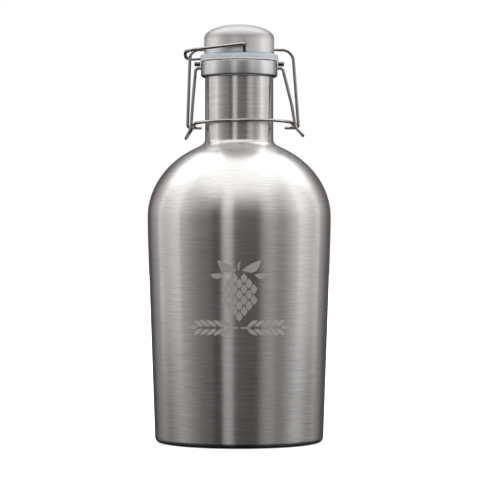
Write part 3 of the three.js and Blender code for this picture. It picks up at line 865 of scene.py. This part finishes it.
def neck_collar():
    inner = NECK_RADIUS + GAP
    outer = COLLAR_HIGH.x
    low, high = COLLAR_LOW.z, COLLAR_HIGH.z
    profile = rounded(
        [
            (inner, low, FINE_EDGE),
            (outer, low, COLLAR_FOOT_EDGE),
            (outer, high, COLLAR_TOP_EDGE),
            (inner, high, FINE_EDGE),
        ]
    )
    reach = outer + CUT_OVERRUN
    hole = circle_outline(WIRE_HOLE_RADIUS, PIVOT["lever_pivot"].z)
    drill = cutter("drill", hole, True, 0, (-reach, reach))
    mesh = cut_holes(turned("collar", profile, RING_SEGMENTS), [drill])
    finish_mesh("collar", mesh, COLLAR_STEEL, "bottle", ["neck_collar"])


def studs():
    """A round-edged stud on the collar above each lever end."""
    radius = (STUD_HIGH.z - STUD_LOW.z) / 2
    length = STUD_HIGH.x - STUD_LOW.x
    middle_z = (STUD_HIGH.z + STUD_LOW.z) / 2
    foot, end = (radius, 0, STUD_FOOT_EDGE), (radius, length, STUD_END_EDGE)
    profile = rounded([(0, 0, 0), foot, end, (0, length, 0)])
    for name, sign in (("stud_left", -1), ("stud_right", 1)):
        mesh = turned(name + "_fine", profile, SMALL_SEGMENTS)
        lay = Matrix.Rotation(sign * math.pi / 2, 4, "Y")
        place = Matrix.Translation((sign * STUD_LOW.x, 0, middle_z))
        mesh.transform(place @ lay)
        finish_mesh(name + "_fine", mesh, PIN_STEEL, "bottle", [name])


# ---- Swing-top wires ----


def lever_half(side):
    """From the collar down the arm before the pin, round the toe, up behind the pin and over it."""
    sign = side["sign"]
    depth = EYE_HALF_DEPTH
    straight_run = 0.1 * MM
    top_z = PIVOT["lever_pivot"].z
    pin_z = PIVOT["bail_pivot"].z
    knee_x, knee_z = side["knee"]
    toe_x, toe_z = side["toe"]
    over_x, over_z = side["over_pin"]
    knee_y = -depth * (top_z - knee_z) / (top_z - pin_z)
    return [
        corner(sign * (COLLAR_HIGH.x - LEVER_END_DEPTH), 0, top_z),
        corner(sign * LEVER_ELBOW_X, 0, top_z, LEVER_ELBOW_BEND),
        corner(sign * knee_x, knee_y, knee_z, LEVER_KNEE_BEND),
        corner(sign * side["arm_x"], -depth, pin_z, LEVER_EYE_BEND),
        corner(sign * toe_x, -depth, toe_z, depth),
        corner(sign * toe_x, depth, toe_z, depth),
        corner(sign * over_x, depth, over_z, depth - straight_run),
    ]


def hoop():
    """Half an ellipse round the front of the neck, from one eye to the other."""
    left_x, left_z = LEFT["over_pin"]
    right_x, right_z = RIGHT["over_pin"]
    centre_x = (right_x - left_x) / 2
    reach_x = (right_x + left_x) / 2
    centre_z = (right_z + left_z) / 2
    lean = (right_z - left_z) / 2
    points = []
    for i in range(HOOP_STEPS + 1):
        angle = math.pi * (1 - i / HOOP_STEPS)
        rise = HOOP_RISE * math.sin(angle) + lean * math.cos(angle)
        x = centre_x + reach_x * math.cos(angle)
        points.append(corner(x, -HOOP_REACH * math.sin(angle), centre_z + rise))
    return points


def lever():
    corners = lever_half(LEFT) + hoop() + lever_half(RIGHT)[::-1]
    wire("lever", corners, ["lever_wire"], "lever")


def bail_half(side):
    sign = side["sign"]
    pin_z = PIVOT["bail_pivot"].z
    return [
        corner(sign * side["pin_end_x"], 0, pin_z),
        corner(sign * side["bail_pin_x"], 0, pin_z, BAIL_PIN_BEND),
        corner(sign * side["bail_top_x"], 0, PIVOT["lid_pivot"].z, side["bail_bend"]),
    ]


def bail():
    wire("bail", bail_half(LEFT) + bail_half(RIGHT)[::-1], ["bail_wire"], "bail")


def retainer_loop():
    """A squared-off loop whose ends turn in the lid, outside the bail and lower at the back."""
    axis = PIVOT["loop_pivot"]
    half_width = LOOP_HIGH.y - WIRE_RADIUS
    tip_x = LOOP_LOW.x + WIRE_RADIUS
    end_y = CAP_RADIUS - LOOP_END_DEPTH
    corners = [corner(axis.x, -end_y, axis.z), corner(axis.x, -half_width, axis.z, LOOP_BEND)]
    for i in range(LOOP_STEPS + 1):
        angle = math.pi * (i / LOOP_STEPS - 0.5)
        outward = max(math.cos(angle), 0) ** (2 / LOOP_SQUARENESS)
        along = math.copysign(abs(math.sin(angle)) ** (2 / LOOP_SQUARENESS), math.sin(angle))
        x = LOOP_BEND_X + (tip_x - LOOP_BEND_X) * outward
        z = LOOP_BEND_Z + (LOOP_TIP_Z - LOOP_BEND_Z) * outward - LOOP_BACK_DROP * (1 + along) / 2
        corners.append(corner(x, half_width * along, z))
    corners += [corner(axis.x, half_width, axis.z, LOOP_BEND), corner(axis.x, end_y, axis.z)]
    wire("loop", corners, ["retainer_loop"], "loop")


# ---- Lid ----


def dome(inset, steps=DOME_ROWS):
    """The dome's surface from its edge to the axis, set in by inset."""
    points = []
    for i in range(steps):
        angle = math.pi / 2 * i / steps
        radius = (CAP_RADIUS - inset) * math.cos(angle)
        points.append((radius, DOME_Z + (DOME_HEIGHT - inset) * math.sin(angle)))
    return points + [(0, DOME_Z + DOME_HEIGHT - inset)]


def skirt(radius, bottom_z):
    height = DOME_Z - bottom_z
    return [(radius, bottom_z + height * i / SKIRT_ROWS) for i in range(SKIRT_ROWS)]


def lid_cap():
    bottom = CAP_LOW.z
    edge_z = bottom + CAP_EDGE
    outer = [(CAP_RADIUS - CAP_EDGE, bottom), (CAP_RADIUS, edge_z)]
    outer += skirt(CAP_RADIUS, edge_z)[1:] + dome(0)
    inner_radius = CAP_RADIUS - CAP_WALL
    inner = [(inner_radius + CAP_EDGE, bottom), (inner_radius, edge_z)]
    inner += skirt(inner_radius, edge_z)[1:] + dome(CAP_WALL)
    reach = CAP_RADIUS + CUT_OVERRUN
    below = bottom - CUT_OVERRUN
    half_slot = SLOT_WIDTH / 2
    bail_hole = keyhole_outline(WIRE_HOLE_RADIUS, PIVOT["lid_pivot"].z, half_slot, below)
    loop_hole = keyhole_outline(WIRE_HOLE_RADIUS, PIVOT["loop_pivot"].z, half_slot, below)
    tools = [
        cutter("bail_keyholes", bail_hole, True, 0, (-reach, reach)),
        cutter("loop_keyholes", loop_hole, False, PIVOT["loop_pivot"].x, (-reach, reach)),
    ]
    mesh = cut_holes(turned("cap", inner[::-1] + outer, RING_SEGMENTS), tools)
    finish_mesh("cap", mesh, CAP_STEEL, "lid", ["lid_cap"])


def core_half(name, node):
    """Half of the moulded core, with its share of the wires' bores."""
    low_corner, high_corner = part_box(node)
    low, high, radius = low_corner.z, high_corner.z, high_corner.x
    meets_above = high < CORE_SPLIT_Z
    lower_edge = CORE_FOOT_EDGE if meets_above else 0
    upper_edge = 0 if meets_above else CORE_TOP_EDGE
    profile = rounded([(0, low, 0), (radius, low, lower_edge), (radius, high, upper_edge), (0, high, 0)])
    reach = radius + CUT_OVERRUN
    hole_end = CAP_RADIUS - LOOP_HOLE_DEPTH
    axis = PIVOT["loop_pivot"]
    bail_hole = circle_outline(WIRE_HOLE_RADIUS, PIVOT["lid_pivot"].z)
    round_hole = circle_outline(WIRE_HOLE_RADIUS, axis.z)
    tools = [
        cutter("bore", bail_hole, True, 0, (-reach, reach)),
        cutter("front_hole", round_hole, False, axis.x, (-reach, -hole_end)),
        cutter("back_hole", round_hole, False, axis.x, (hole_end, reach)),
    ]
    mesh = cut_holes(turned(name, profile, RING_SEGMENTS), tools)
    finish_mesh(name, mesh, CORE_PLASTIC, "lid", [node])


def lid_insulation():
    inset = CAP_WALL + GAP
    foot = [(0, INSULATION_LOW.z), (CAP_RADIUS - inset, INSULATION_LOW.z)]
    profile = foot + dome(inset, INSULATION_ROWS)
    mesh = turned("insulation", profile, SMALL_SEGMENTS)
    finish_mesh("insulation", mesh, FOAM, "lid", ["lid_insulation"])


def lid_plug():
    """The tapered plug with a round nose, and the flange that lies in the gasket's seat."""
    flange_z = GASKET_SEAT_Z + GAP
    profile = rounded(
        [
            (0, PLUG_LOW.z, 0),
            (PLUG_TIP_RADIUS, PLUG_LOW.z, PLUG_TIP_EDGE),
            (PLUG_RADIUS - PLUG_NOSE_INSET, PLUG_LOW.z + PLUG_NOSE_HEIGHT, PLUG_NOSE_EDGE),
            (PLUG_RADIUS, MOUTH_Z, PLUG_SIDE_EDGE),
            (PLUG_RADIUS, flange_z, 0),
            (PLUG_HIGH.x, flange_z, FLANGE_EDGE),
            (PLUG_HIGH.x, PLUG_HIGH.z, FLANGE_EDGE),
            (0, PLUG_HIGH.z, 0),
        ]
    )
    mesh = turned("plug", profile, RING_SEGMENTS)
    finish_mesh("plug", mesh, PLUG_PLASTIC, "lid", ["lid_plug"])


def lid_gasket():
    """The gasket's outside has a bead round its foot, and its inside a seat for the plug's flange."""
    outer, low, high = GASKET_HIGH.x, GASKET_LOW.z, GASKET_HIGH.z
    above_bead = outer - GASKET_BEAD_DEPTH
    profile = rounded(
        [
            (GASKET_BORE, low, GASKET_BORE_EDGE),
            (outer, low, GASKET_FOOT_EDGE),
            (outer, BEAD_TOP_Z, GASKET_BEAD_EDGE),
            (above_bead, BEAD_TOP_Z, 0),
            (above_bead, high, GASKET_TOP_EDGE),
            (GASKET_SEAT_RADIUS, high, FINE_EDGE),
            (GASKET_SEAT_RADIUS, GASKET_SEAT_Z, 0),
            (GASKET_BORE, GASKET_SEAT_Z, FINE_EDGE),
        ]
    )
    mesh = turned("gasket", profile, RING_SEGMENTS)
    finish_mesh("gasket", mesh, SILICONE, "lid", ["lid_gasket"])


# ---- The etched mark: a plain hop cone over two ears of barley ----

ETCH_PROUD = 0.03 * MM
ETCH_SUNK = 0.12 * MM
HOP_Z = 108 * MM
EAR_Z = 82 * MM
LEAF_STEPS = 12
LEAF_LEAST_HALF = 0.02 * MM

# The cone's rows from the top, and its bracts
CONE_ROW_COUNTS = (2, 3, 4, 3, 4, 3, 2, 1)
CONE_TOP = 11 * MM
CONE_ROW_STEP = 3.7 * MM
BRACT_PITCH = 6.6 * MM
BRACT_LENGTH = 7 * MM
BRACT_WIDTH = 4.5 * MM
BRACT_FULLNESS = 1.15
DOWN = -90

# The cone's stem and its leaves, with places measured from the cone's top
STEM_RISE = 1 * MM
STEM_DIRECTION = 80
STEM_SIZE = (7.5 * MM, 1.5 * MM)
STEM_BEND = 0.6
LEAF_LEAN = 62
INNER_LEAF_PLACE = (1.8 * MM, 1.6 * MM)
INNER_LEAF_SIZE = (15 * MM, 6 * MM)
INNER_LEAF_BEND = 0.5
OUTER_LEAF_PLACE = (10.4 * MM, -1.4 * MM)
OUTER_LEAF_SIZE = (9.5 * MM, 3.8 * MM)
OUTER_LEAF_LEAN = 26
OUTER_LEAF_BEND = 0.4

# The barley: a stalk, pairs of grains and a last grain on each side of the middle
STALK_START = 0.6 * MM
STALK_SIZE = (7 * MM, 1.2 * MM)
STALK_FULLNESS = 0.2
GRAIN_PAIRS = 5
GRAIN_START_MM = 5.4
GRAIN_PITCH_MM = 5
GRAIN_LEAN = 32
GRAIN_OFFSET = 0.7 * MM
GRAIN_SIZE = (8.4 * MM, 2.9 * MM)
LAST_GRAIN_START = 29 * MM
LAST_GRAIN_SIZE = (6.5 * MM, 2.4 * MM)


def on_wall(across, z, proud):
    """A point of the wall's front, reached by going across round it and up to z."""
    radius = wall_radius(z) + proud
    angle = across / wall_radius(z)
    return Vector((radius * math.sin(angle), -radius * math.cos(angle), z))


def leaf(bm, base, direction, size, bend=0.0, fullness=0.85):
    """A pointed leaf as a thin closed plate that follows the wall, from base along direction degrees."""
    length, width = size
    heading = math.radians(direction)
    rows = []
    for i in range(LEAF_STEPS + 1):
        t = i / LEAF_STEPS
        half = max(width / 2 * math.sin(math.pi * t) ** fullness, LEAF_LEAST_HALF)
        turn = heading + bend * (t - 0.5)
        bow = bend * length * t * (1 - t)
        across = base[0] + length * t * math.cos(heading) - bow * math.sin(heading)
        up = base[1] + length * t * math.sin(heading) + bow * math.cos(heading)
        row = []
        for share in (-1, 0, 1):
            x = across - half * share * math.sin(turn)
            z = up + half * share * math.cos(turn)
            row.append((bm.verts.new(on_wall(x, z, ETCH_PROUD)), bm.verts.new(on_wall(x, z, -ETCH_SUNK))))
        rows.append(row)
    for lower, upper in zip(rows, rows[1:]):
        for k in range(2):
            bm.faces.new((lower[k + 1][0], lower[k][0], upper[k][0], upper[k + 1][0]))
            bm.faces.new((lower[k][1], lower[k + 1][1], upper[k + 1][1], upper[k][1]))
        bm.faces.new((lower[0][0], lower[0][1], upper[0][1], upper[0][0]))
        bm.faces.new((lower[2][1], lower[2][0], upper[2][0], upper[2][1]))
    for row, order in ((rows[0], 1), (rows[-1], -1)):
        for k in range(2):
            face = [row[k][0], row[k + 1][0], row[k + 1][1], row[k][1]]
            bm.faces.new(face[::order])


def etched_mark():
    """Bracts in staggered rows make the cone. Four leaves and a stem top it, over two ears of barley."""
    bm = bmesh.new()
    top_z = HOP_Z + CONE_TOP
    for row, count in enumerate(CONE_ROW_COUNTS):
        for k in range(count):
            across = (k - (count - 1) / 2) * BRACT_PITCH
            base = (across, top_z - row * CONE_ROW_STEP)
            leaf(bm, base, DOWN, (BRACT_LENGTH, BRACT_WIDTH), fullness=BRACT_FULLNESS)
    leaf(bm, (0, top_z + STEM_RISE), STEM_DIRECTION, STEM_SIZE, bend=STEM_BEND)
    for sign in (-1, 1):
        tilt = 90 - sign * LEAF_LEAN
        inner = (sign * INNER_LEAF_PLACE[0], top_z + INNER_LEAF_PLACE[1])
        outer = (sign * OUTER_LEAF_PLACE[0], top_z + OUTER_LEAF_PLACE[1])
        leaf(bm, inner, tilt, INNER_LEAF_SIZE, bend=-INNER_LEAF_BEND * sign)
        outer_tilt = tilt - sign * OUTER_LEAF_LEAN
        leaf(bm, outer, outer_tilt, OUTER_LEAF_SIZE, bend=-OUTER_LEAF_BEND * sign)
    for sign in (-1, 1):
        outward = 0 if sign > 0 else 180
        leaf(bm, (sign * STALK_START, EAR_Z), outward, STALK_SIZE, fullness=STALK_FULLNESS)
        for k in range(GRAIN_PAIRS):
            start_x = sign * (GRAIN_START_MM + GRAIN_PITCH_MM * k) * MM
            for side in (-1, 1):
                tilt = outward + sign * side * GRAIN_LEAN
                leaf(bm, (start_x, EAR_Z + side * GRAIN_OFFSET), tilt, GRAIN_SIZE)
        leaf(bm, (sign * LAST_GRAIN_START, EAR_Z), outward, LAST_GRAIN_SIZE)
    bmesh.ops.recalc_face_normals(bm, faces=bm.faces)
    mesh = made_mesh("etched_mark", bm)
    finish_mesh("etched_mark", mesh, ETCHED_STEEL, "bottle", [])


outer_shell()
outer_base()
base_seal_disc()
inner_flask()
inner_base()
mouth_ring()
neck_collar()
studs()
lever()
bail()
retainer_loop()
lid_cap()
core_half("core_upper", "lid_core")
core_half("core_lower", "lid_core_clamp")
lid_insulation()
lid_plug()
lid_gasket()
etched_mark()

# The CAD nodes sealed between the walls keep their CAD shape
for node, material in (
    ("vacuum_seal_bead", SOLDER),
    ("getter_pellet", GETTER),
    ("getter_clip", INNER_STEEL),
):
    shown = frame["nodes"][node]
    shown.data.materials.clear()
    shown.data.materials.append(material)


# ---- Studio ----

PANEL_DISTANCE = 0.5
PANEL_Y = 0.06
PANEL_Z = 0.39
PANEL_SIZE = (0.38, 0.72)
LEFT_PANEL_WATTS = 0.34
RIGHT_PANEL_WATTS = 0.29
FLOOR_HALF_SIZE = 6
FLOOR_DROP = 0.2 * MM
FLOOR_TONE = 0.9
FLOOR_ROUGHNESS = 0.9
FLOOR_GLOW = 0.45


def studio_world():
    """A light tent: bands of light and dark round the bottle, a bright roof, and white for the camera."""
    world = bpy.data.worlds.new("studio")
    bpy.context.scene.world = world
    world.use_nodes = True
    nodes = Nodes(world.node_tree)
    place = nodes.add("ShaderNodeTexCoord")
    x, y, z = nodes.split(place.outputs["Generated"])
    bearing = nodes.math("ARCTAN2", x, nodes.math("MULTIPLY", y, -1.0))
    turn = nodes.remap(bearing, -math.pi, math.pi, 0, 1)
    # (bearing in degrees, light level): 0 is straight in front of the bottle, positive to the right
    bands = (
        (-180, 0.1), (-151, 0.12), (-142, 0.32), (-131, 0.54), (-120, 0.67), (-106, 0.44),
        (-95, 0.66), (-84, 0.84), (-74, 0.82), (-63, 0.56), (-50, 0.36), (-37, 0.28),
        (-30, 0.1), (-23, 0.08), (-20, 1.0), (-10, 1.0), (-6, 0.2), (2, 0.19),
        (24, 0.14), (28, 0.42), (34, 0.68), (43, 0.76), (51, 0.5), (58, 0.5),
        (68, 0.8), (78, 1.1), (90, 0.98), (104, 0.56), (119, 0.74), (130, 0.5),
        (143, 0.22), (152, 0.14),
    )
    around = nodes.ramp(turn, [((degrees + 180) / 360, level) for degrees, level in bands])
    # (height share from straight down to straight up, share of the bands' light)
    falls = ((0.0, 0.02), (0.3, 0.05), (0.41, 0.28), (0.465, 0.66), (0.505, 0.96), (0.6, 1.12), (1.0, 1.12))
    fall = nodes.ramp(nodes.remap(z, -1, 1, 0, 1), falls)
    dark_tint, light_tint = (1.09, 0.985, 0.975, 1), (1, 1, 1, 1)
    warmth = nodes.mix_colour(around, dark_tint, light_tint)
    sides = nodes.mix_colour(1.0, nodes.mix_colour(1.0, around, fall, "MULTIPLY"), warmth, "MULTIPLY")
    roof = nodes.remap(z, 0.22, 0.8, 0.0, 1.0, smooth=True)
    # (place along the roof from front to back, share of its light)
    strips = (
        (0.0, 0.46), (0.5, 0.58), (0.6, 0.72), (0.67, 0.98), (0.71, 1.1),
        (0.77, 1.1), (0.82, 0.54), (0.88, 0.3), (1.0, 0.28),
    )
    depth = nodes.ramp(nodes.remap(y, -1, 1, 0, 1), strips)
    middle_level, edge_level = 3.1, 1.9
    sideways = nodes.math("ABSOLUTE", x)
    level = nodes.remap(sideways, 0.4, 0.9, middle_level, edge_level, smooth=True)
    canopy = nodes.mix_colour(1.0, depth, level, "MULTIPLY")
    tent = nodes.mix_colour(roof, sides, canopy)
    lit = nodes.add("ShaderNodeBackground")
    nodes.link(tent, lit.inputs[0])
    seen = nodes.add("ShaderNodeBackground")
    seen.inputs[0].default_value = (1, 1, 1, 1)
    ray = nodes.add("ShaderNodeLightPath")
    mixed = nodes.add("ShaderNodeMixShader")
    nodes.link(ray.outputs["Is Camera Ray"], mixed.inputs[0])
    nodes.link(lit.outputs[0], mixed.inputs[1])
    nodes.link(seen.outputs[0], mixed.inputs[2])
    output = nodes.add("ShaderNodeOutputWorld")
    nodes.link(mixed.outputs[0], output.inputs[0])


def side_panel(name, sign, power):
    """A tall soft panel to one side, centred above the bottle and a little behind it, facing across."""
    inward = Vector((-sign, 0, 0))
    data = bpy.data.lights.new(name, "AREA")
    data.shape = "RECTANGLE"
    data.size, data.size_y = PANEL_SIZE
    data.energy = power
    light = placed(name, data)
    light.location = (sign * PANEL_DISTANCE, PANEL_Y, PANEL_Z)
    light.rotation_euler = inward.to_track_quat("-Z", "Y").to_euler()
    light.visible_camera = False


def floor():
    """A plain pale floor, matte and near white."""
    bm = bmesh.new()
    bmesh.ops.create_grid(bm, x_segments=8, y_segments=8, size=FLOOR_HALF_SIZE)
    mesh = made_mesh("floor", bm)
    material, _, shader = new_material("pale_floor")
    shader.inputs["Base Color"].default_value = (FLOOR_TONE, FLOOR_TONE, FLOOR_TONE, 1)
    shader.inputs["Roughness"].default_value = FLOOR_ROUGHNESS
    shader.inputs["Emission Color"].default_value = (1, 1, 1, 1)
    shader.inputs["Emission Strength"].default_value = FLOOR_GLOW
    mesh.materials.append(material)
    ground = placed("floor", mesh)
    ground.location.z = -FLOOR_DROP
    ground.visible_glossy = False


studio_world()
side_panel("left_panel", -1, LEFT_PANEL_WATTS)
side_panel("right_panel", 1, RIGHT_PANEL_WATTS)
floor()

bpy.context.scene.view_settings.view_transform = "Standard"
